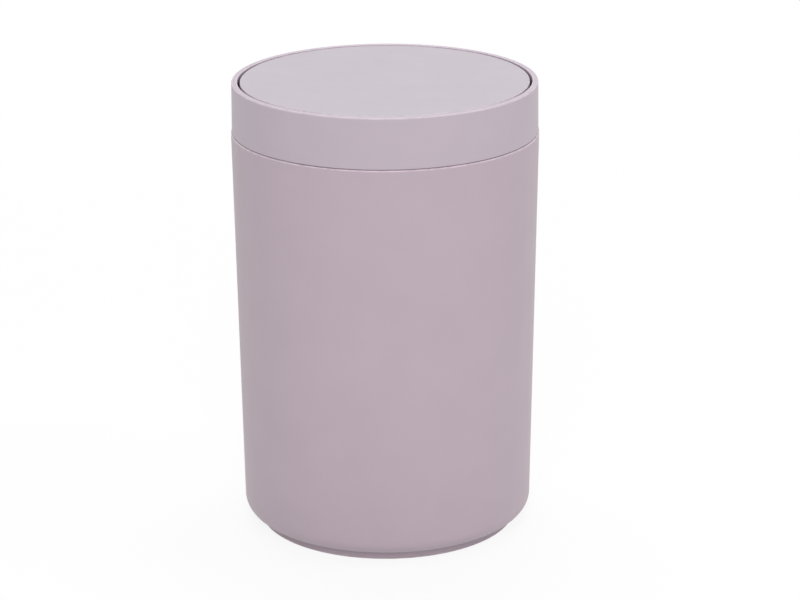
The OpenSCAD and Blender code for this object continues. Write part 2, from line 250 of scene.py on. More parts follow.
class Solid:
    """A closed solid in millimetres, shaped in place and chained."""

    def __init__(self, bm: bmesh.types.BMesh) -> None:
        """Weld a bmesh and turn its faces outwards.

        Args:
            bm: The bmesh, which the solid takes over.
        """
        bmesh.ops.remove_doubles(bm, verts=bm.verts[:], dist=WELD)
        bmesh.ops.recalc_face_normals(bm, faces=bm.faces[:])
        self.bm = bm

    @classmethod
    def turned(cls, outline: Outline, steps: int = SHELL_STEPS) -> Solid:
        """Turn a half section about Z.

        Args:
            outline: The half section, with x as the radius.
            steps: Steps of the full turn.

        Returns:
            The turned solid.
        """
        bm = outline.wire()
        bmesh.ops.spin(
            bm, geom=bm.verts[:] + bm.edges[:], cent=(0, 0, 0), axis=(0, 0, 1), dvec=(0, 0, 0),
            angle=math.tau, steps=steps, use_merge=True, use_duplicate=False)
        return cls(bm)

    @classmethod
    def drum(cls, radius: float, low: float, high: float, edge: float = 0.0) -> Solid:
        """Make a small upright cylinder.

        Args:
            radius: Its radius.
            low: Height of its lower end.
            high: Height of its upper end.
            edge: Rounding of both end edges.

        Returns:
            The cylinder about Z.
        """
        corners = [Corner(0, low), Corner(radius, low, edge), Corner(radius, high, edge), Corner(0, high)]
        return cls.turned(Outline(corners), SMALL_STEPS)

    @classmethod
    def drums(cls, places: Iterable[Place], radius: float, low: float, high: float) -> list[Solid]:
        """Return the same small upright cylinder at each of several places."""
        return [cls.drum(radius, low, high).shifted(x, y) for x, y in places]

    @classmethod
    def block(cls, low: Point, high: Point, edge: float = 0.0) -> Solid:
        """Make a block between two corners.

        Args:
            low: Its lowest corner.
            high: Its highest corner.
            edge: Rounding of all its edges.

        Returns:
            The block.
        """
        bm = bmesh.new()
        size = Vector(high) - Vector(low)
        bmesh.ops.create_cube(bm, size=1.0)
        bmesh.ops.scale(bm, verts=bm.verts[:], vec=size)
        bmesh.ops.translate(bm, verts=bm.verts[:], vec=Vector(low) + size / 2)
        return cls(bm).softened(edge)

    @classmethod
    def blocks(cls, low: Point, high: Point) -> list[Solid]:
        """Return a block given for the pivot's right end, and the same block at its left end."""
        return [cls.block(low, high).rotated(side.value) for side in Side]

    @classmethod
    def extruded(cls, outline: Outline, length: float) -> Solid:
        """Draw a closed outline out along +Y.

        Args:
            outline: The flat section in the XZ plane.
            length: How far it is drawn out.

        Returns:
            The extruded solid.
        """
        bm = outline.wire()
        face = bmesh.ops.contextual_create(bm, geom=bm.edges[:])["faces"]
        drawn = bmesh.ops.extrude_face_region(bm, geom=face)["geom"]
        moved = [part for part in drawn if isinstance(part, bmesh.types.BMVert)]
        bmesh.ops.translate(bm, verts=moved, vec=(0, length, 0))
        return cls(bm)

    def softened(self, radius: float, segments: int = 3) -> Solid:
        """Round every edge that turns by more than a crisp edge does.

        Args:
            radius: Radius of the rounding; nothing is done at 0.
            segments: Steps of the rounding.

        Returns:
            The same solid.
        """
        edges = [edge for edge in self.bm.edges if edge.calc_face_angle(0.0) > CRISP]
        if radius > 0.0:
            bmesh.ops.bevel(
                self.bm, geom=edges, offset=radius, offset_type="OFFSET", segments=segments,
                profile=0.5, affect="EDGES", clamp_overlap=True, material=-1)
        return self

    def shifted(self, x: float = 0.0, y: float = 0.0, z: float = 0.0) -> Solid:
        """Move the solid and return it."""
        bmesh.ops.translate(self.bm, verts=self.bm.verts[:], vec=(x, y, z))
        return self

    def rotated(self, degrees: float, axis: Axis = Axis.Z) -> Solid:
        """Turn the solid about an axis through the origin.

        Args:
            degrees: The turn.
            axis: The axis.

        Returns:
            The same solid.
        """
        matrix = Matrix.Rotation(math.radians(degrees), 3, axis.value)
        bmesh.ops.rotate(self.bm, verts=self.bm.verts[:], cent=(0, 0, 0), matrix=matrix)
        return self

    def laid_along_x(self) -> Solid:
        """Lay an upright solid along +X, so that its heights become stations on X, and return it."""
        return self.rotated(RIGHT_ANGLE, Axis.Y)

    def joined(self, *tools: Solid) -> Solid:
        """Return this solid with others fused to it."""
        return self._combined(tools, Operation.JOIN)

    def cut(self, *tools: Solid) -> Solid:
        """Return this solid with others cut out of it."""
        return self._combined(tools, Operation.CUT)

    def _combined(self, tools: Iterable[Solid], operation: Operation) -> Solid:
        """Run one boolean step for each tool.

        Args:
            tools: The solids to fuse or cut, which are used up.
            operation: What is done with them.

        Returns:
            The combined solid.
        """
        base = self._object("base")
        used = [tool._object("tool") for tool in tools]
        for tool in used:
            step = base.modifiers.new("step", "BOOLEAN")
            step.operation = operation.value
            step.solver = "MANIFOLD"
            step.object = tool
        graph = bpy.context.evaluated_depsgraph_get()
        bm = bmesh.new()
        bm.from_object(base, graph)
        for done in (base, *used):
            mesh = done.data
            bpy.data.objects.remove(done)
            bpy.data.meshes.remove(mesh)
        return Solid(bm)

    def _object(self, name: str) -> bpy.types.Object:
        """Hand the shape over to a new object in the scene.

        Args:
            name: The object's name.

        Returns:
            The object, with this solid's bmesh freed.
        """
        mesh = bpy.data.meshes.new(name)
        self.bm.to_mesh(mesh)
        self.bm.free()
        made = bpy.data.objects.new(name, mesh)
        bpy.context.scene.collection.objects.link(made)
        return made

    def piece(self, name: str, body: Body, slot: Slot, node: str, finish: Finish) -> None:
        """Turn the solid into a finished piece of the object and report it.

        Args:
            name: The piece's name.
            body: The body that it rides on.
            slot: The record's material slot that it stands for; not used.
            node: The frame node that it stands for.
            finish: Its finish.
        """
        bmesh.ops.scale(self.bm, verts=self.bm.verts[:], vec=(1 / MM_IN_M,) * 3)
        open_edges = sum(1 for edge in self.bm.edges if len(edge.link_faces) != 2)
        volume = self.bm.calc_volume(signed=True) * CM_IN_M**3
        faces = len(self.bm.faces)
        made = self._object(name)
        made.data.shade_smooth()
        made.data.set_sharp_from_angle(angle=CRISP)
        even = made.modifiers.new("even_shading", "WEIGHTED_NORMAL")
        even.keep_sharp = True
        made.data.materials.append(material_of(finish))
        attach(made, body.value)
        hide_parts(node)
        LOG.info(
            "%s: %d faces, %d open edges, %.2f cm3, on %s", name, faces, open_edges, volume, body.value)


# ---------------------------------------------------------------------------
# Finishes


class Signal:
    """A node's output on which Python's operators add Math nodes."""

    # The value that a noise varies about
    MIDDLE = 0.5

    def __init__(self, graph: Graph, socket: bpy.types.NodeSocket | None) -> None:
        """Wrap a socket of a graph."""
        self.graph = graph
        self.socket = socket

    def math(self, operation: str, *values: Signal | float) -> Signal:
        """Add one Math node.

        Args:
            operation: The node's operation.
            values: Its inputs, in order.

        Returns:
            The node's result.
        """
        return self.graph.node("ShaderNodeMath", {"operation": operation}, dict(enumerate(values)))

    def __add__(self, other: Signal | float) -> Signal:
        """Return self + other."""
        return self.math("ADD", self, other)

    def __radd__(self, other: float) -> Signal:
        """Return other + self."""
        return self.math("ADD", other, self)

    def __sub__(self, other: Signal | float) -> Signal:
        """Return self - other."""
        return self.math("SUBTRACT", self, other)

    def __rsub__(self, other: float) -> Signal:
        """Return other - self."""
        return self.math("SUBTRACT", other, self)

    def __mul__(self, other: Signal | float) -> Signal:
        """Return self * other."""
        return self.math("MULTIPLY", self, other)

    def __rmul__(self, other: float) -> Signal:
        """Return other * self."""
        return self.math("MULTIPLY", other, self)

    def __truediv__(self, other: Signal | float) -> Signal:
        """Return self / other."""
        return self.math("DIVIDE", self, other)

    def __rtruediv__(self, other: float) -> Signal:
        """Return other / self."""
        return self.math("DIVIDE", other, self)

    def root(self) -> Signal:
        """Return the square root."""
        return self.math("SQRT", self)

    def above(self, other: Signal | float) -> Signal:
        """Return the larger of the two."""
        return self.math("MAXIMUM", self, other)

    def swing(self, width: float) -> Signal:
        """Return a noise as a swing about 0, with its whole range as wide as the width."""
        return (self - self.MIDDLE) * width

    def step(self, low: float, high: float) -> Signal:
        """Return 0 below low and 1 above high, with a smooth rise between."""
        inputs = {"Value": self, "From Min": low, "From Max": high}
        return self.graph.node("ShaderNodeMapRange", {"interpolation_type": "SMOOTHSTEP"}, inputs)


@dataclass(frozen=True)
class Pattern:
    """A noise: the size of its blotches in millimetres, its finer layers and their share."""

    size: float
    detail: float = 2.0
    roughness: float = 0.5
    # Factors on the coordinates, small along the axis that the blotches are drawn out on
    stretch: Point | None = None


class Graph:
    """The node tree of a material or a world, written as expressions."""

    # Sockets of a Mix node that mixes colours
    MIX_FACTOR, MIX_A, MIX_B, MIX_RESULT = 0, 6, 7, 2

    def __init__(self, owner: bpy.types.Material | bpy.types.World) -> None:
        """Start a tree from nothing.

        Args:
            owner: The material or world that holds it.
        """
        owner.use_nodes = True
        self.tree = owner.node_tree
        self.tree.nodes.clear()

    def node(self, kind: str, settings: Mapping[str, object], inputs: Mapping[int | str, object],
             output: int | str = 0) -> Signal:
        """Add a node.

        Args:
            kind: The node's type.
            settings: Its own settings, which are set first.
            inputs: Values or links of its sockets, by name or number.
            output: The output that is wanted.

        Returns:
            That output.
        """
        made = self.tree.nodes.new(kind)
        for name, value in settings.items():
            setattr(made, name, value)
        for key, value in inputs.items():
            if isinstance(value, Signal):
                self.tree.links.new(value.socket, made.inputs[key])
            else:
                made.inputs[key].default_value = value
        return Signal(self, made.outputs[output] if made.outputs else None)

    def place(self) -> Signal:
        """Return the object coordinates, in millimetres."""
        coordinates = self.node("ShaderNodeTexCoord", {}, {}, "Object")
        return self.node("ShaderNodeVectorMath", {"operation": "SCALE"}, {0: coordinates, "Scale": MM_IN_M})

    def part(self, vector: Signal, axis: Axis) -> Signal:
        """Return one coordinate of a vector."""
        return self.node("ShaderNodeSeparateXYZ", {}, {0: vector}, axis.value)

    def from_axis(self, vector: Signal) -> Signal:
        """Return a place's distance from the Z axis."""
        flat = self.stretched(vector, (1.0, 1.0, 0.0))
        return self.node("ShaderNodeVectorMath", {"operation": "LENGTH"}, {0: flat}, "Value")

    def stretched(self, vector: Signal, scale: Point) -> Signal:
        """Return a vector multiplied axis by axis."""
        return self.node("ShaderNodeVectorMath", {"operation": "MULTIPLY"}, {0: vector, 1: scale})

    def noise(self, place: Signal, pattern: Pattern) -> Signal:
        """Add a noise.

        Args:
            place: The coordinates, in millimetres.
            pattern: What the noise is like.

        Returns:
            The noise, from 0 to 1 about 0.5.
        """
        if pattern.stretch:
            place = self.stretched(place, pattern.stretch)
        inputs = {
            "Vector": place, "Scale": 1 / pattern.size,
            "Detail": pattern.detail, "Roughness": pattern.roughness,
        }
        return self.node("ShaderNodeTexNoise", {"noise_dimensions": "3D"}, inputs, "Fac")

    def mixed(self, factor: Signal, start: Colour | Signal, end: Colour | Signal) -> Signal:
        """Mix two colours.

        Args:
            factor: 0 for the start and 1 for the end.
            start: The first colour.
            end: The second colour.

        Returns:
            The mixed colour.
        """
        ends = [value if isinstance(value, Signal) else (*value, 1.0) for value in (start, end)]
        inputs = {self.MIX_FACTOR: factor, self.MIX_A: ends[0], self.MIX_B: ends[1]}
        return self.node("ShaderNodeMix", {"data_type": "RGBA"}, inputs, self.MIX_RESULT)

    def bumped(self, height: Signal, depth: float, under: Signal | None = None) -> Signal:
        """Turn a height into a normal.

        Args:
            height: The height, from 0 to 1.
            depth: The depth from 0 to 1, in millimetres.
            under: The normal that it lies on, if any.

        Returns:
            The bumped normal.
        """
        inputs: dict[int | str, object] = {"Height": height, "Strength": 1.0, "Distance": depth / MM_IN_M}
        if under is not None:
            inputs["Normal"] = under
        return self.node("ShaderNodeBump", {}, inputs)

    def output(self, kind: str, surface: Signal) -> None:
        """Add the tree's output node and link the surface to it."""
        self.node(kind, {}, {"Surface": surface})


def tinted(colour: Colour, factor: float) -> Colour:
    """Return a colour multiplied by a factor, at most white."""
    return tuple(min(1.0, part * factor) for part in colour)


def tool_marks(size: float, stretch: Point) -> Pattern:
    """Return fine tool marks, drawn out along the axes whose stretch is small."""
    return Pattern(size, detail=4.0, roughness=0.6, stretch=stretch)


@dataclass(frozen=True)
class Ring:
    """A circular edge about Z that rubs, wears and takes a painted highlight, in millimetres."""

    radius: float
    height: float
    # Share of the full rubbing and painted highlight that it has
    rub_and_highlight_share: float = 1.0


@dataclass(frozen=True)
class Finish:
    """What every finish has."""

    name: str
    colour: Colour
    roughness: float

    def surface(self, graph: Graph) -> Signal:
        """Build the finish's shader in a graph and return it."""
        raise NotImplementedError


@dataclass(frozen=True)
class MouldedPlastic(Finish):
    """Satin moulded plastic with a fine spark-eroded grain, depths in millimetres."""

    ior: float = 1.48
    # The spark-eroded grain
    grain: Pattern = Pattern(0.4)
    grain_depth: float = 0.012
    # The slow waviness left by cooling
    wave: Pattern = Pattern(16.0, detail=1.0)
    wave_depth: float = 0.012
    # Slow clouds, their share in the tone, the noise levels of the darkest and the palest tone,
    # and how far those lie from the colour
    cloud: Pattern = Pattern(24.0, detail=3.0)
    cloud_share: float = 0.7
    tone_levels: tuple[float, float] = (0.3, 0.7)
    clouding: float = 0.018
    # Fine specks, how far they swing the roughness, and how high they stand in the grain
    speckle: Pattern = Pattern(0.8, detail=3.0, roughness=0.6)
    speckle_swing: float = 0.06
    speckle_height: float = 0.5
    # Handling smears, and how far they swing the roughness
    smear: Pattern = Pattern(9.0, detail=4.0, stretch=(1.0, 1.0, 0.35))
    smear_swing: float = 0.12
    # Edges that rub and carry a painted highlight, how wide that band is, the share of that width
    # at which it is at full strength, how much paler it gets from rubbing and the painted highlight,
    # and how much smoother the rubbing makes it
    rings: tuple[Ring, ...] = ()
    rub_and_highlight_width: float = 0.9
    rub_and_highlight_full: float = 0.3
    rub_and_highlight_pale: float = 1.2
    rub_polish: float = 0.1
    # Patches that thin out the rubbing and its painted highlight, their noise levels, and the least
    # that they leave of it
    patches: Pattern = Pattern(5.0, detail=4.0, roughness=0.65)
    patch_levels: tuple[float, float] = (0.35, 0.6)
    patch_least: float = 0.4

    def surface(self, graph: Graph) -> Signal:
        """Build the plastic's shader.

        Args:
            graph: The material's graph.

        Returns:
            The shader.
        """
        place = graph.place()
        cloud = graph.noise(place, self.cloud)
        speckle = graph.noise(place, self.speckle)
        grain = graph.noise(place, self.grain)
        smear = graph.noise(place, self.smear)
        tone = (cloud * self.cloud_share + speckle * (1 - self.cloud_share)).step(*self.tone_levels)
        dark = tinted(self.colour, 1 - self.clouding)
        pale = tinted(self.colour, 1 + self.clouding)
        colour = graph.mixed(tone, dark, pale)
        roughness = self.roughness + smear.swing(self.smear_swing) + speckle.swing(self.speckle_swing)
        if self.rings:
            rub_and_highlight_mask = self.rub_and_highlight_mask(graph, place)
            # Edges turn paler: partly worn, partly a painted highlight on their roundings
            colour = graph.mixed(rub_and_highlight_mask, colour, tinted(self.colour, self.rub_and_highlight_pale))
            roughness = roughness - rub_and_highlight_mask * self.rub_polish
        normal = graph.bumped(graph.noise(place, self.wave), self.wave_depth)
        normal = graph.bumped(grain + speckle * self.speckle_height, self.grain_depth, normal)
        inputs = {"Base Color": colour, "Roughness": roughness, "IOR": self.ior, "Normal": normal}
        return graph.node("ShaderNodeBsdfPrincipled", {}, inputs)

    def rub_and_highlight_mask(self, graph: Graph, place: Signal) -> Signal:
        """Find where the plastic rubs and takes a painted highlight.

        Args:
            graph: The material's graph.
            place: The coordinates, in millimetres.

        Returns:
            1 on an edge that is worn and painted with a highlight, 0 away from it, thinned out by patches.
        """
        radius = graph.from_axis(place)
        z = graph.part(place, Axis.Z)
        bands = []
        for ring in self.rings:
            out = radius - ring.radius
            up = z - ring.height
            near = 1 - (out * out + up * up).root() / self.rub_and_highlight_width
            bands.append(near.step(0.0, 1 - self.rub_and_highlight_full) * ring.rub_and_highlight_share)
        patches = graph.noise(place, self.patches).step(*self.patch_levels)
        return reduce(Signal.above, bands) * (patches * (1 - self.patch_least) + self.patch_least)


@dataclass(frozen=True)
class Steel(Finish):
    """Machined or plated steel with fine marks along or around one axis."""

    # Tool marks, their depth in mm, and how far they swing the roughness
    marks: Pattern = tool_marks(0.25, (0.03, 1.0, 1.0))
    mark_depth: float = 0.006
    mark_swing: float = 0.22
    # Stains, how far they swing the roughness, their noise levels, and their colour and its share
    stain: Pattern = Pattern(6.0, detail=5.0, roughness=0.6)
    stain_swing: float = 0.12
    stain_levels: tuple[float, float] = (0.45, 0.75)
    stain_colour: Colour = (0.50, 0.47, 0.42)
    stain_share: float = 0.5

    def surface(self, graph: Graph) -> Signal:
        """Build the steel's shader.

        Args:
            graph: The material's graph.

        Returns:
            The shader.
        """
        place = graph.place()
        marks = graph.noise(place, self.marks)
        stain = graph.noise(place, self.stain)
        stained = stain.step(*self.stain_levels) * self.stain_share
        inputs = {
            "Base Color": graph.mixed(stained, self.colour, self.stain_colour),
            "Metallic": 1.0,
            "Roughness": self.roughness + marks.swing(self.mark_swing) + stain.swing(self.stain_swing),
            "Normal": graph.bumped(marks, self.mark_depth),
        }
        return graph.node("ShaderNodeBsdfPrincipled", {}, inputs)


@cache
def material_of(finish: Finish) -> bpy.types.Material:
    """Make a finish's material once.

    Args:
        finish: The finish.

    Returns:
        Its material.
    """
    made = bpy.data.materials.new(finish.name)
    graph = Graph(made)
    graph.output("ShaderNodeOutputMaterial", finish.surface(graph))
    return made


# Roughness of the plastic that shows
SATIN = 0.46
CARRIER_MAUVE = MouldedPlastic(
    "carrier_mauve", (0.46, 0.375, 0.44), roughness=0.40,
    grain=Pattern(0.6), grain_depth=0.008, clouding=0.03)
ACETAL = MouldedPlastic(
    "acetal", (0.82, 0.82, 0.79), roughness=0.30,
    grain=Pattern(0.15), grain_depth=0.001, clouding=0.02)
BAR_STEEL = Steel("bar_steel", (0.55, 0.55, 0.56), roughness=0.34)
PLATED_STEEL = Steel(
    "plated_steel", (0.66, 0.64, 0.58), roughness=0.26,
    marks=tool_marks(0.4, (1.0, 1.0, 0.2)), mark_depth=0.003)
GROUND_STEEL = Steel(
    "ground_steel", (0.66, 0.66, 0.67), roughness=0.18,
    marks=tool_marks(0.12, (1.0, 0.1, 0.1)), mark_depth=0.002)


# ---------------------------------------------------------------------------
# Sub-assemblies, in millimetres


def rib_blade(root_t: float, tip_t: float, low: float, root_z: float, length: float) -> Solid:
    """Make a moulded rib that hangs from a plate, with a drafted blade and filleted roots.

    Args:
        root_t: Thickness at the root.
        tip_t: Thickness at the tip.
        low: Height of its tip.
        root_z: Height of the plate's face that it hangs from.
        length: Its length along +X.

    Returns:
        The rib, centred on the X axis and rooted in the plate.
    """
    foot = root_t / 2 + 2 * ROOT_FILLET
    face = root_z + HAIR
    half = [
        Corner(tip_t / 2, low, TIP_EDGE), Corner(root_t / 2, face, ROOT_FILLET),
        Corner(foot, face), Corner(foot, root_z + REACH),
    ]
    other = [Corner(-corner.x, corner.z, corner.r) for corner in reversed(half)]
    return Solid.extruded(Outline(half + other, closed=True), length).rotated(-RIGHT_ANGLE)


@dataclass
class BinBody:
    """The tapered bucket with its floor, foot ring and the ribs under the floor."""

    rim_r: float = 70.65
    base_r: float = 67.7
    wall: float = 2.0
    floor_t: float = 2.2
    corner_r: float = 7.0
    rim_round: float = 0.5
    foot_h: float = 4.0
    foot_r: float = 60.4
    foot_w: float = 3.0
    foot_round: float = 0.6
    # Fillets at the foot ring's roots, outside in the recess and inside under the floor
    recess_root: float = 0.3
    floor_root: float = 0.5
    ribs: int = 8
    rib_t: float = 1.4
    rib_tip: float = 1.1
    rib_h: float = 2.0
    gate_r: float = 9.0
    sprue_r: float = 1.6
    sprue_h: float = 0.7
    ejector_r: float = 3.0
    ejector_ring: float = 36.0
    ejector_depth: float = 0.15
    height: float = measured("bin_body", End.HIGH, Axis.Z)
    colour: Colour = (0.463, 0.377, 0.428)
    # How much paler the rim gets, partly worn and partly a painted highlight on its rounding, and
    # the share of that paling that the worn foot gets, which there is rubbing only
    rim_worn_and_highlit_pale: float = 1.45
    foot_wear: float = 0.45

    def outline(self) -> Outline:
        """Draw the bucket's half section.

        Returns:
            The section, from the floor's underside out and round to its top face.
        """
        draft = (self.rim_r - self.base_r) / (self.height - self.foot_h - self.corner_r)
        base_r = self.base_r - draft * self.corner_r
        foot_in_r = self.foot_r - self.foot_w
        floor_z = self.foot_h + self.floor_t
        return Outline([
            Corner(0, self.foot_h),
            Corner(foot_in_r, self.foot_h, self.floor_root),
            Corner(foot_in_r, 0, self.foot_round),
            Corner(self.foot_r, 0, self.foot_round),
            Corner(self.foot_r, self.foot_h, self.recess_root),
            Corner(base_r, self.foot_h, self.corner_r),
            Corner(self.rim_r, self.height, self.rim_round),
            Corner(self.rim_r - self.wall, self.height, self.rim_round / 2),
            Corner(base_r - self.wall, floor_z, self.corner_r - self.wall),
            Corner(0, floor_z),
        ])

    def floor_rib(self, turn: float) -> Solid:
        """Make one rib under the floor.

        Args:
            turn: Its direction about Z, in degrees.

        Returns:
            The rib, rooted in the gate ring, the floor and the foot ring.
        """
        low = self.foot_h - self.rib_h
        start = self.gate_r - self.rib_t / 2
        end = self.foot_r - self.foot_w / 2
        blade = rib_blade(self.rib_t, self.rib_tip, low, self.foot_h, end - start)
        return blade.shifted(x=start).rotated(turn)

    def gate_ring(self) -> Solid:
        """Make the ring around the moulding gate.

        Returns:
            The ring, with its root in the floor.
        """
        low = self.foot_h - self.rib_h
        root = self.foot_h + REACH
        inner = self.gate_r - self.rib_t
        return Solid.turned(Outline([
            Corner(inner, low, MOULDED_EDGE), Corner(self.gate_r, low, MOULDED_EDGE),
            Corner(self.gate_r, root), Corner(inner, root),
        ], closed=True), RING_STEPS)

    def finish(self) -> Finish:
        """Describe the bucket's finish.

        Returns:
            Satin plastic, paler at the rim from rubbing and a painted highlight, and worn
            a little paler at the foot.
        """
        foot = [Ring(radius, 0.0, self.foot_wear) for radius in (self.foot_r, self.foot_r - self.foot_w)]
        rings = (Ring(self.rim_r, self.height), *foot)
        # The rim's ring is paled by rubbing and a painted highlight; the foot's rings only by rubbing
        return MouldedPlastic("body_mauve", self.colour, SATIN, rings=rings, rub_and_highlight_pale=self.rim_worn_and_highlit_pale)

    def build(self) -> None:
        """Make the bucket, with its sprue's vestige and the ejectors' marks."""
        pitch = FULL_TURN / self.ribs
        ribs = [self.floor_rib(i * pitch + pitch / 2) for i in range(self.ribs)]
        sprue = Solid.drum(self.sprue_r, self.foot_h - self.sprue_h, self.foot_h + REACH, FINE_EDGE)
        marks = [
            Solid.drum(self.ejector_r, self.foot_h - REACH, self.foot_h + self.ejector_depth)
            .shifted(x=self.ejector_ring).rotated(i * pitch)
            for i in range(self.ribs)
        ]
        body = Solid.turned(self.outline()).joined(self.gate_ring(), sprue, *ribs).cut(*marks)
        body.piece("bin_bucket", Body.BIN, Slot.BODY, "bin_body", self.finish())


@dataclass
class Hinge:
    """Stations and radii of the pivot that the collar, the flap and the hardware share."""

    z: float = field(default_factory=pivot_height)
    bush_r: float = 3.0
    flange_t: float = 0.6
    bore_r: float = 1.55
    pin_r: float = 1.5
    head_r: float = 2.6
    head_t: float = 1.0
    flange_x: float = measured("bearing_bush_right", End.LOW, Axis.X)
    bush_end_x: float = measured("bearing_bush_right", End.HIGH, Axis.X)
    flange_r: float = measured("bearing_bush_right", End.HIGH, Axis.Y)
    head_x: float = measured("pivot_pin_right", End.LOW, Axis.X)
    tip_x: float = measured("pivot_pin_right", End.HIGH, Axis.X)
    lug_x: float = measured("flap_carrier", End.HIGH, Axis.X)

    @property
    def lug_in_x(self) -> float:
        """Return the station of the end walls' inner faces, where the pins' heads bear."""
        return self.head_x + self.head_t

    def across(self, solid: Solid, side: Side) -> Solid:
        """Put a solid that stands on Z along the pivot.

        Args:
            solid: The solid, whose heights are stations along X.
            side: The end of the pivot.

        Returns:
            The same solid, on the pivot.
        """
        return solid.laid_along_x().shifted(z=self.z).rotated(side.value)

    def drums(self, radius: float, start: float, end: float, edge: float = 0.0) -> list[Solid]:
        """Return the same small cylinder between two stations at both ends of the pivot."""
        return [self.across(Solid.drum(radius, start, end, edge), side) for side in Side]

    def pin(self, side: Side) -> Solid:
        """Make one turned pin.

        Args:
            side: The end of the pivot.

        Returns:
            The pin, with its domed head inside the flap.
        """
        corners = [
            Corner(0, self.head_x),
            Corner(self.head_r, self.head_x, self.head_t / 2),
            Corner(self.head_r, self.lug_in_x, BROKEN_EDGE),
            Corner(self.pin_r, self.lug_in_x),
            Corner(self.pin_r, self.tip_x, self.pin_r * BLUNT),
            Corner(0, self.tip_x),
        ]
        return self.across(Solid.turned(Outline(corners), SMALL_STEPS), side)

    def bush(self, side: Side) -> Solid:
        """Make one flanged bush.

        Args:
            side: The end of the pivot.

        Returns:
            The bush, with its flange towards the flap.
        """
        sleeve_x = self.flange_x + self.flange_t
        corners = [
            Corner(self.bore_r, self.flange_x, BORE_EDGE),
            Corner(self.flange_r, self.flange_x, self.flange_t / 2),
            Corner(self.flange_r, sleeve_x, BROKEN_EDGE),
            Corner(self.bush_r, sleeve_x),
            Corner(self.bush_r, self.bush_end_x, FINE_EDGE),
            Corner(self.bore_r, self.bush_end_x, BORE_EDGE),
        ]
        return self.across(Solid.turned(Outline(corners, closed=True), SMALL_STEPS), side)

    def build(self) -> None:
        """Make the pins and the bushes."""
        for side in Side:
            word = side.name.lower()
            self.pin(side).piece(f"pin_{word}", Body.FLAP, Slot.PIN, f"pivot_pin_{word}", GROUND_STEEL)
            self.bush(side).piece(f"bush_{word}", Body.LID, Slot.BUSH, f"bearing_bush_{word}", ACETAL)


@dataclass
class Collar:
    """The lid ring: wall, land, shelf, skirt and the two cradles that hold the bushes."""

    hinge: Hinge
    low_r: float = 70.25
    top_r: float = 70.0
    inner_r: float = 68.0
    land_in_r: float = 67.3
    land_h: float = 3.0
    top_round: float = 0.8
    land_round: float = 0.4
    seam_round: float = 0.2
    seam_gap: float = 0.25
    seat_r: float = 69.55
    shelf_t: float = 2.0
    shelf_root: float = 0.6
    shelf_round: float = 0.4
    skirt_r: float = 68.35
    skirt_low_r: float = 68.12
    skirt_t: float = 1.5
    # The cradles: where they start, where their bore ends, their radius, and how far they root in
    # the collar's wall
    cradle_x: float = 62.0
    cradle_end_x: float = 67.0
    cradle_r: float = 4.6
    sunk: float = 1.0
    post_half: float = 3.535
    mouth_half: float = 2.6
    lead_in: float = 1.1
    bush_fit: float = 0.02
    rim_z: float = measured("bin_body", End.HIGH, Axis.Z)
    top_z: float = measured("collar", End.HIGH, Axis.Z)
    skirt_z: float = measured("collar", End.LOW, Axis.Z)
    colour: Colour = (0.480, 0.410, 0.468)

    def outline(self) -> Outline:
        """Draw the collar's half section.

        Returns:
            The section, from the skirt's foot out, up the wall, over the land and back inside.
        """
        low_z = self.rim_z + self.seam_gap
        shelf_z = self.rim_z + self.shelf_t
        land_z = self.top_z - self.land_h
        return Outline([
            Corner(self.skirt_low_r - self.skirt_t, self.skirt_z, MOULDED_EDGE),
            Corner(self.skirt_low_r, self.skirt_z, self.skirt_t / 2),
            Corner(self.skirt_r, self.rim_z),
            Corner(self.seat_r, self.rim_z),
            Corner(self.seat_r, low_z),
            Corner(self.low_r, low_z, self.seam_round),
            Corner(self.top_r, self.top_z, self.top_round),
            Corner(self.land_in_r, self.top_z, self.land_round),
            Corner(self.land_in_r, land_z, FINE_EDGE),
            Corner(self.inner_r, land_z - (self.inner_r - self.land_in_r)),
            Corner(self.inner_r, shelf_z, self.shelf_root),
            Corner(self.skirt_r - self.skirt_t, shelf_z, self.shelf_round),
        ], closed=True)

    def snap(self) -> list[Solid]:
        """Make what is cut out of a cradle, so that a bush snaps in from above.

        Returns:
            The bush's bore, its mouth and the mouth's tapered lead-in.
        """
        pivot_z = self.hinge.z
        start_x = self.cradle_x - REACH
        bore = Solid.drum(self.hinge.bush_r + self.bush_fit, start_x, self.cradle_end_x)
        mouth = Solid.block(
            (start_x, -self.mouth_half, pivot_z),
            (self.cradle_end_x, self.mouth_half, pivot_z + self.cradle_r + REACH))
        wedge_z = pivot_z + self.cradle_r + self.mouth_half - self.lead_in
        half = self.mouth_half * math.sqrt(2)
        wedge = Solid.block((start_x, -half, -half), (self.cradle_end_x, half, half))
        wedge.rotated(RIGHT_ANGLE / 2, Axis.X).shifted(z=wedge_z)
        return [bore.laid_along_x().shifted(z=pivot_z), mouth, wedge]

    def cradle(self, side: Side) -> Solid:
        """Make the snap cradle of one side.

        Args:
            side: The end of the pivot.

        Returns:
            The cradle on its post, rooted in the collar's wall.
        """
        root_x = self.inner_r + self.sunk
        foot_z = self.rim_z + self.shelf_t - REACH
        drum = Solid.turned(Outline([
            Corner(0, self.cradle_x), Corner(self.cradle_r, self.cradle_x, MOULDED_EDGE),
            Corner(self.cradle_r, root_x), Corner(0, root_x),
        ]), RING_STEPS)
        post = Solid.block(
            (self.cradle_x, -self.post_half, foot_z), (root_x, self.post_half, self.hinge.z), TIP_EDGE)
        body = drum.laid_along_x().shifted(z=self.hinge.z).joined(post)
        return body.cut(*self.snap()).rotated(side.value)

    def finish(self) -> Finish:
        """Describe the collar's finish.

        Returns:
            Satin plastic, worn along both edges of the land and paled there by a painted highlight.
        """
        rings = (Ring(self.top_r, self.top_z), Ring(self.land_in_r, self.top_z))
        return MouldedPlastic("collar_lavender", self.colour, SATIN, rings=rings)

    def build(self) -> None:
        """Make the collar with its cradles."""
        collar = Solid.turned(self.outline()).joined(*(self.cradle(side) for side in Side))
        collar.piece("lid_collar", Body.LID, Slot.COLLAR, "collar", self.finish())


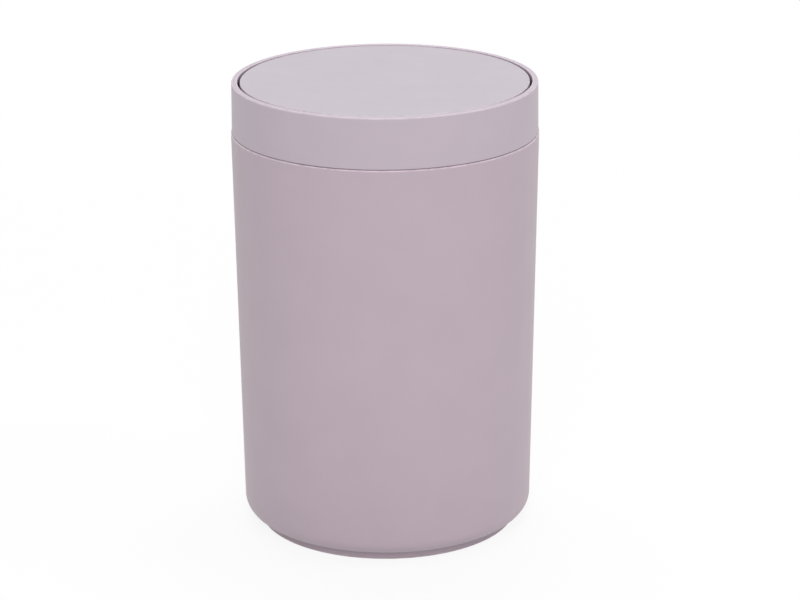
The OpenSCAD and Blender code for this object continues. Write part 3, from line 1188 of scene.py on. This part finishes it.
@dataclass
class Screw:
    """A pan-head screw with a cross recess."""

    core_r: float = 1.25
    head_r: float = 2.8
    head_h: float = 1.8
    length: float = 6.0
    # The recess: width, half length and depth of its slots, and the radius of its middle and how
    # much deeper that ends
    slot_w: float = 0.8
    slot_half: float = 1.68
    slot_d: float = 1.0
    point_r: float = 0.68
    point_d: float = 0.3

    def solid(self) -> Solid:
        """Make the screw.

        Returns:
            The screw, with its head hanging from z = 0 and its shank pointing up.
        """
        body = Solid.turned(Outline([
            Corner(0, -self.head_h),
            Corner(self.head_r, -self.head_h, self.head_h / 2),
            Corner(self.head_r, 0, BROKEN_EDGE),
            Corner(self.core_r, 0),
            Corner(self.core_r, self.length - self.core_r),
            Corner(self.core_r * BLUNT, self.length),
            Corner(0, self.length),
        ]), SMALL_STEPS)
        clear = -self.head_h - REACH
        floor = self.slot_d - self.head_h
        half_w = self.slot_w / 2
        slots = [
            Solid.block((-self.slot_half, -half_w, clear), (self.slot_half, half_w, floor)).rotated(turn)
            for turn in (0.0, RIGHT_ANGLE)
        ]
        point = Solid.turned(Outline([
            Corner(0, clear), Corner(self.point_r, clear),
            Corner(self.point_r, -self.head_h), Corner(0, floor + self.point_d),
        ]), POINT_STEPS)
        return body.cut(*slots, point)


@dataclass
class FlapPlan:
    """Heights, stations and fits that the parts of the flap share."""

    screw: Screw = field(default_factory=Screw)
    disc_t: float = 2.0
    plate_t: float = 2.4
    cover_t: float = 1.8
    boss_r: float = 3.05
    screw_fit: float = 0.35
    tip_room: float = 0.3
    top_z: float = measured("flap_panel", End.HIGH, Axis.Z)
    lip_z: float = measured("flap_panel", End.LOW, Axis.Z)
    # How far out and how far down the screws' heads reach
    heads_x: float = measured("carrier_screws", End.HIGH, Axis.X)
    heads_y: float = measured("carrier_screws", End.HIGH, Axis.Y)
    heads_z: float = measured("carrier_screws", End.LOW, Axis.Z)
    cover_heads_x: float = measured("cover_screws", End.HIGH, Axis.X)
    cover_z: float = measured("weight_cover", End.LOW, Axis.Z)

    @property
    def under_z(self) -> float:
        """Return the height of the disc's underside."""
        return self.top_z - self.disc_t

    @property
    def plate_low_z(self) -> float:
        """Return the height of the carrier plate's underside, where the screws' heads bear."""
        return self.heads_z + self.screw.head_h

    @property
    def plate_z(self) -> float:
        """Return the height of the carrier plate's top, which carries the disc's bosses."""
        return self.plate_low_z + self.plate_t

    @property
    def pocket_z(self) -> float:
        """Return the height of the pocket's edge, which the cover closes."""
        return self.cover_z + self.cover_t

    @property
    def pass_r(self) -> float:
        """Return the radius of the holes that a screw passes through."""
        return self.screw.core_r + self.screw_fit

    def bored_to(self, seat: float) -> float:
        """Return the top of the hole for a screw whose head bears at a height."""
        return seat + self.screw.length + self.tip_room

    def carrier_screws(self) -> list[Place]:
        """Find the carrier's screws.

        Returns:
            The places of the four screws.
        """
        x = self.heads_x - self.screw.head_r
        y = self.heads_y - self.screw.head_r
        return [(-x, -y), (-x, y), (x, -y), (x, y)]

    def cover_screws(self) -> list[Place]:
        """Return the places of the cover's two screws."""
        x = self.cover_heads_x - self.screw.head_r
        return [(-x, 0.0), (x, 0.0)]


@dataclass
class Disc:
    """The disc that closes the bin, with its lip, stiffening ribs and screw bosses."""

    plan: FlapPlan
    radius: float = 66.2
    edge_round: float = 0.7
    lip_t: float = 1.6
    # Half the width of the lip's notch at each pivot
    notch_half: float = 8.0
    ring_r: float = 45.2
    ribs: int = 6
    rib_t: float = 1.2
    rib_tip: float = 0.95
    rib_h: float = 2.0
    # Painted light: a darker, greyer copy of the collar's plastic, its tone fitted to stand in for the
    # sheen and light on the flap's top
    colour: Colour = (0.442, 0.396, 0.442)

    @property
    def lip_in_r(self) -> float:
        """Return the lip's inner radius."""
        return self.radius - self.lip_t

    def skin(self) -> Solid:
        """Make the disc's plate.

        Returns:
            The plate with its lip.
        """
        plan = self.plan
        return Solid.turned(Outline([
            Corner(0, plan.top_z),
            Corner(self.radius, plan.top_z, self.edge_round),
            Corner(self.radius, plan.lip_z, TIP_EDGE),
            Corner(self.lip_in_r, plan.lip_z, TIP_EDGE),
            Corner(self.lip_in_r, plan.under_z, ROOT_FILLET),
            Corner(0, plan.under_z),
        ]))

    def stiffeners(self) -> list[Solid]:
        """Make the ribs under the disc.

        Returns:
            The round rib and the straight ribs that cross in the middle.
        """
        under_z = self.plan.under_z
        tip_z = under_z - self.rib_h
        half_root = self.rib_t / 2
        half_tip = self.rib_tip / 2
        ring = Solid.turned(Outline([
            Corner(self.ring_r - half_root, under_z + REACH),
            Corner(self.ring_r - half_tip, tip_z, FINE_EDGE),
            Corner(self.ring_r + half_tip, tip_z, FINE_EDGE),
            Corner(self.ring_r + half_root, under_z + REACH),
        ], closed=True))
        reach = self.radius - self.lip_t / 2
        pitch = FULL_TURN / self.ribs
        ribs = [
            rib_blade(self.rib_t, self.rib_tip, tip_z, under_z, 2 * reach)
            .shifted(x=-reach).rotated(i * pitch + pitch / 2)
            for i in range(self.ribs // 2)
        ]
        return [ring, *ribs]

    def solid(self) -> Solid:
        """Make the disc.

        Returns:
            The disc, ribbed, bored for the carrier's screws and notched at the pivots.
        """
        plan = self.plan
        places = plan.carrier_screws()
        bosses = Solid.drums(places, plan.boss_r, plan.plate_z, plan.under_z + REACH)
        hole_top = plan.bored_to(plan.plate_low_z)
        holes = Solid.drums(places, plan.screw.core_r, plan.plate_z - REACH, hole_top)
        notch_x = math.sqrt(self.lip_in_r**2 - self.notch_half**2) - self.lip_t / 2
        notches = Solid.blocks(
            (notch_x, -self.notch_half, plan.lip_z - REACH),
            (self.radius + REACH, self.notch_half, plan.under_z))
        return self.skin().joined(*self.stiffeners(), *bosses).cut(*notches, *holes)

    def finish(self) -> Finish:
        """Describe the disc's finish.

        Returns:
            Satin plastic, worn along the top edge and the lip and paled there by a painted highlight.
        """
        rings = (Ring(self.radius, self.plan.top_z), Ring(self.radius, self.plan.lip_z))
        return MouldedPlastic("flap_lavender", self.colour, SATIN, rings=rings)


@dataclass
class Carrier:
    """The frame under the disc, which holds the pins and the counterweight's pocket."""

    plan: FlapPlan
    hinge: Hinge
    side_t: float = 1.6
    eye_r: float = 4.0
    window_room: float = 0.4
    pocket_fit: float = 0.3
    pocket_wall: float = 1.8
    rest_ribs: int = 3
    half_w: float = measured("flap_carrier", End.HIGH, Axis.Y)

    def tray(self) -> Solid:
        """Make the carrier's tray.

        Returns:
            The plate with its side walls, its end walls and the pins' round eyes.
        """
        hinge = self.hinge
        plan = self.plan
        low_z = hinge.z - self.eye_r
        in_w = self.half_w - self.side_t
        outer = Solid.block(
            (-hinge.lug_x, -self.half_w, low_z), (hinge.lug_x, self.half_w, plan.plate_z), MOULDED_EDGE)
        inner = Solid.block(
            (-hinge.lug_in_x, -in_w, low_z - REACH), (hinge.lug_in_x, in_w, plan.plate_low_z), MOULDED_EDGE)
        eyes = hinge.drums(self.eye_r, hinge.lug_in_x + HAIR, hinge.lug_x - HAIR, FINE_EDGE)
        return outer.cut(inner).joined(*eyes)

    def pocket(self) -> Solid:
        """Make the counterweight's pocket.

        Returns:
            Its walls, the ribs that the bar rests on and the bosses for the cover's screws.
        """
        plan = self.plan
        weight = node_box("counterweight")[End.HIGH.value]
        half_l = weight.x + self.pocket_fit
        half_w = weight.y + self.pocket_fit
        outer_l = half_l + self.pocket_wall
        outer_w = half_w + self.pocket_wall
        root_z = plan.plate_low_z + REACH
        shell = Solid.block((-outer_l, -outer_w, plan.pocket_z), (outer_l, outer_w, root_z), MOULDED_EDGE)
        hollow = Solid.block((-half_l, -half_w, plan.pocket_z - REACH), (half_l, half_w, plan.plate_low_z))
        pitch = 2 * half_l / (self.rest_ribs + 1)
        rests = [
            Solid.block(
                (i * pitch - half_l - self.side_t / 2, -half_w - REACH, weight.z),
                (i * pitch - half_l + self.side_t / 2, half_w + REACH, root_z))
            for i in range(1, self.rest_ribs + 1)
        ]
        bosses = Solid.drums(plan.cover_screws(), plan.boss_r, plan.pocket_z, root_z)
        return shell.cut(hollow).joined(*rests, *bosses)

    def solid(self) -> Solid:
        """Make the carrier.

        Returns:
            The tray with its pocket, bored for the pins and the screws, with a window over each pin.
        """
        hinge = self.hinge
        plan = self.plan
        bores = hinge.drums(hinge.pin_r, hinge.lug_in_x - REACH, hinge.lug_x + REACH)
        pilots = Solid.drums(
            plan.cover_screws(), plan.screw.core_r, plan.pocket_z - REACH, plan.bored_to(plan.cover_z))
        passes = Solid.drums(
            plan.carrier_screws(), plan.pass_r, plan.plate_low_z - REACH, plan.plate_z + REACH)
        room = hinge.head_r + self.window_room
        pin_l = hinge.tip_x - hinge.head_x
        windows = Solid.blocks(
            (hinge.lug_in_x - pin_l - self.window_room, -room, plan.plate_low_z - REACH),
            (hinge.lug_in_x, room, plan.plate_z + REACH))
        return self.tray().joined(self.pocket()).cut(*bores, *pilots, *passes, *windows)


@dataclass
class Counterweight:
    """The steel bar in the carrier's pocket and the cover that keeps it there."""

    plan: FlapPlan
    chamfer: float = 0.6
    # Steps of the deburred edges
    deburring: int = 2

    def bar(self) -> Solid:
        """Make the counterweight.

        Returns:
            A bar with chamfered long edges and deburred ends.
        """
        low, high = node_box("counterweight")
        c = self.chamfer
        corners = [
            Corner(high.y - c, low.z), Corner(high.y, low.z + c),
            Corner(high.y, high.z - c), Corner(high.y - c, high.z),
            Corner(low.y + c, high.z), Corner(low.y, high.z - c),
            Corner(low.y, low.z + c), Corner(low.y + c, low.z),
        ]
        bar = Solid.extruded(Outline(corners, closed=True), high.x - low.x)
        return bar.softened(FINE_EDGE, self.deburring).rotated(-RIGHT_ANGLE).shifted(x=low.x)

    def cover(self) -> Solid:
        """Make the pocket's cover.

        Returns:
            A plate with round ends, a pad that holds the bar and two screw holes.
        """
        low, high = node_box("weight_cover")
        plan = self.plan
        corners = [
            Corner(x * high.x, z * high.y, high.y - HAIR) for x, z in ((-1, -1), (1, -1), (1, 1), (-1, 1))
        ]
        plate = Solid.extruded(Outline(corners, closed=True), plan.cover_t)
        plate.softened(MOULDED_EDGE).rotated(RIGHT_ANGLE, Axis.X).shifted(z=low.z)
        weight = node_box("counterweight")[End.HIGH.value]
        pad = Solid.block(
            (-weight.x, -weight.y, plan.pocket_z - REACH), (weight.x, weight.y, high.z), TIP_EDGE)
        holes = Solid.drums(plan.cover_screws(), plan.pass_r, low.z - REACH, high.z + REACH)
        return plate.joined(pad).cut(*holes)


@dataclass
class Flap:
    """All that swings apart from the pins: disc, carrier, counterweight, cover and screws."""

    hinge: Hinge
    plan: FlapPlan = field(default_factory=FlapPlan)
    # Turn from one screw's recess to the next one's, in degrees
    carrier_screw_turn: float = 23.0
    cover_screw_turn: float = 31.0

    def screws(self) -> None:
        """Make the six screws, each with its recess turned its own way."""
        plan = self.plan
        groups = (
            ("carrier", plan.carrier_screws(), plan.plate_low_z, self.carrier_screw_turn),
            ("cover", plan.cover_screws(), plan.cover_z, self.cover_screw_turn),
        )
        for word, places, seat, turn in groups:
            for i, (x, y) in enumerate(places, start=1):
                screw = plan.screw.solid().rotated(i * turn).shifted(x, y, seat)
                screw.piece(f"{word}_screw_{i}", Body.FLAP, Slot.SCREW, f"{word}_screws", PLATED_STEEL)

    def build(self) -> None:
        """Make the flap's pieces."""
        disc = Disc(self.plan)
        disc.solid().piece("flap_disc", Body.FLAP, Slot.FLAP, "flap_panel", disc.finish())
        carrier = Carrier(self.plan, self.hinge)
        carrier.solid().piece("flap_frame", Body.FLAP, Slot.CARRIER, "flap_carrier", CARRIER_MAUVE)
        weight = Counterweight(self.plan)
        weight.bar().piece("weight_bar", Body.FLAP, Slot.WEIGHT, "counterweight", BAR_STEEL)
        weight.cover().piece("pocket_cover", Body.FLAP, Slot.CARRIER, "weight_cover", CARRIER_MAUVE)
        self.screws()


# ---------------------------------------------------------------------------
# Studio, in metres


@dataclass(frozen=True)
class Softbox:
    """A soft rectangular lamp that points at the bin.

    Its azimuth is 0 in front of the bin and grows towards +X.
    """

    name: str
    azimuth: float
    elevation: float
    width: float
    height: float
    # Light given off by each square metre, where 1 is as bright as lit white paper
    brightness: float
    distance: float = 1.7
    aim: Point = (0.0, 0.0, 0.11)

    def build(self) -> None:
        """Add the lamp to the scene."""
        lamp = bpy.data.lights.new(self.name, "AREA")
        lamp.shape = "RECTANGLE"
        lamp.size = self.width
        lamp.size_y = self.height
        lamp.energy = self.brightness * math.pi * self.width * self.height
        turn = Matrix.Rotation(math.radians(self.azimuth), 4, "Z") @ Matrix.Rotation(
            math.radians(RIGHT_ANGLE - self.elevation), 4, "X")
        made = bpy.data.objects.new(self.name, lamp)
        made.matrix_world = Matrix.Translation(self.aim) @ turn @ Matrix.Translation((0, 0, self.distance))
        made.visible_camera = False
        bpy.context.scene.collection.objects.link(made)


@dataclass
class Studio:
    """A plain pale floor, soft lamps and a camera at the photograph's viewing angle."""

    eye: Point = (0.00425, -1.2727, 0.5317)
    yaw: float = -0.0017
    pitch: float = -0.3232
    roll: float = -0.0052
    lens: float = 129.05
    sensor: float = 36.0
    floor_half: float = 4.0
    floor_drop: float = 0.0002
    floor_colour: Colour = (0.90, 0.90, 0.90)
    white: Colour = (1.0, 1.0, 1.0)
    # Share of the floor's look near the bin that is plain white; the rest takes light and shadow
    floor_white: float = 0.88
    # Distances from the bin between which the floor turns plain white, in mm
    floor_fade: tuple[float, float] = (150.0, 900.0)
    ambient: float = 0.5
    lamps: tuple[Softbox, ...] = (
        Softbox("front_softbox", azimuth=-2, elevation=36, width=0.7, height=0.9, brightness=5.35),
        Softbox("side_softbox", azimuth=85, elevation=36, width=0.7, height=0.9, brightness=2.15),
        Softbox("top_softbox", azimuth=180, elevation=72, width=1.2, height=0.5, brightness=6.9),
    )

    def camera(self) -> None:
        """Add the camera and make it the scene's."""
        data = bpy.data.cameras.new("camera")
        data.lens = self.lens
        data.sensor_width = self.sensor
        made = bpy.data.objects.new("camera", data)
        turn = (
            Matrix.Rotation(self.yaw, 4, "Z")
            @ Matrix.Rotation(math.pi / 2 + self.pitch, 4, "X")
            @ Matrix.Rotation(self.roll, 4, "Z")
        )
        made.matrix_world = Matrix.Translation(self.eye) @ turn
        bpy.context.scene.collection.objects.link(made)
        bpy.context.scene.camera = made

    @staticmethod
    def seen(graph: Graph) -> Signal:
        """Tell the rays that look at the background from those that light the bin.

        Args:
            graph: The world's or the floor's graph.

        Returns:
            1 for the camera, a reflection or a clear piece, and 0 otherwise.
        """
        camera = graph.node("ShaderNodeLightPath", {}, {}, "Is Camera Ray")
        outputs = camera.socket.node.outputs
        glossy = Signal(graph, outputs["Is Glossy Ray"])
        through = Signal(graph, outputs["Is Transmission Ray"])
        return camera.above(glossy).above(through)

    def sky(self) -> None:
        """Make the world: plain white where it is seen, and soft light elsewhere."""
        world = bpy.data.worlds.new("studio")
        graph = Graph(world)
        strength = self.ambient + self.seen(graph) * (1 - self.ambient)
        inputs = {"Color": (*self.white, 1.0), "Strength": strength}
        background = graph.node("ShaderNodeBackground", {}, inputs)
        graph.output("ShaderNodeOutputWorld", background)
        bpy.context.scene.world = world

    def paint(self) -> bpy.types.Material:
        """Mix the floor's paint.

        Returns:
            A material that turns plain white with distance and keeps a share of the bin's shadow.
        """
        made = bpy.data.materials.new("floor_paint")
        graph = Graph(made)
        lit = graph.node("ShaderNodeBsdfDiffuse", {}, {"Color": (*self.floor_colour, 1.0)})
        plain = graph.node("ShaderNodeEmission", {}, {"Color": (*self.white, 1.0), "Strength": 1.0})
        far = graph.from_axis(graph.place()).step(*self.floor_fade)
        share = self.floor_white + far * (1 - self.floor_white)
        shown = graph.node("ShaderNodeMixShader", {}, {0: self.seen(graph) * share, 1: lit, 2: plain})
        graph.output("ShaderNodeOutputMaterial", shown)
        return made

    def floor(self) -> None:
        """Lay the floor just below the bin's foot."""
        bm = bmesh.new()
        bmesh.ops.create_grid(bm, x_segments=1, y_segments=1, size=self.floor_half)
        bmesh.ops.translate(bm, verts=bm.verts[:], vec=(0, 0, -self.floor_drop))
        mesh = bpy.data.meshes.new("floor")
        bm.to_mesh(mesh)
        bm.free()
        mesh.materials.append(self.paint())
        made = bpy.data.objects.new("floor", mesh)
        bpy.context.scene.collection.objects.link(made)

    def build(self) -> None:
        """Set the studio up."""
        bpy.context.scene.view_settings.view_transform = "Standard"
        self.camera()
        self.sky()
        self.floor()
        for lamp in self.lamps:
            lamp.build()


# ---------------------------------------------------------------------------


def main() -> None:
    """Build the studio and the bin, piece by piece."""
    logging.basicConfig(level=logging.INFO, format="%(message)s")
    Studio().build()
    hinge = Hinge()
    for part in (BinBody(), Collar(hinge), Flap(hinge), hinge):
        part.build()


if __name__ == "__main__":
    main()
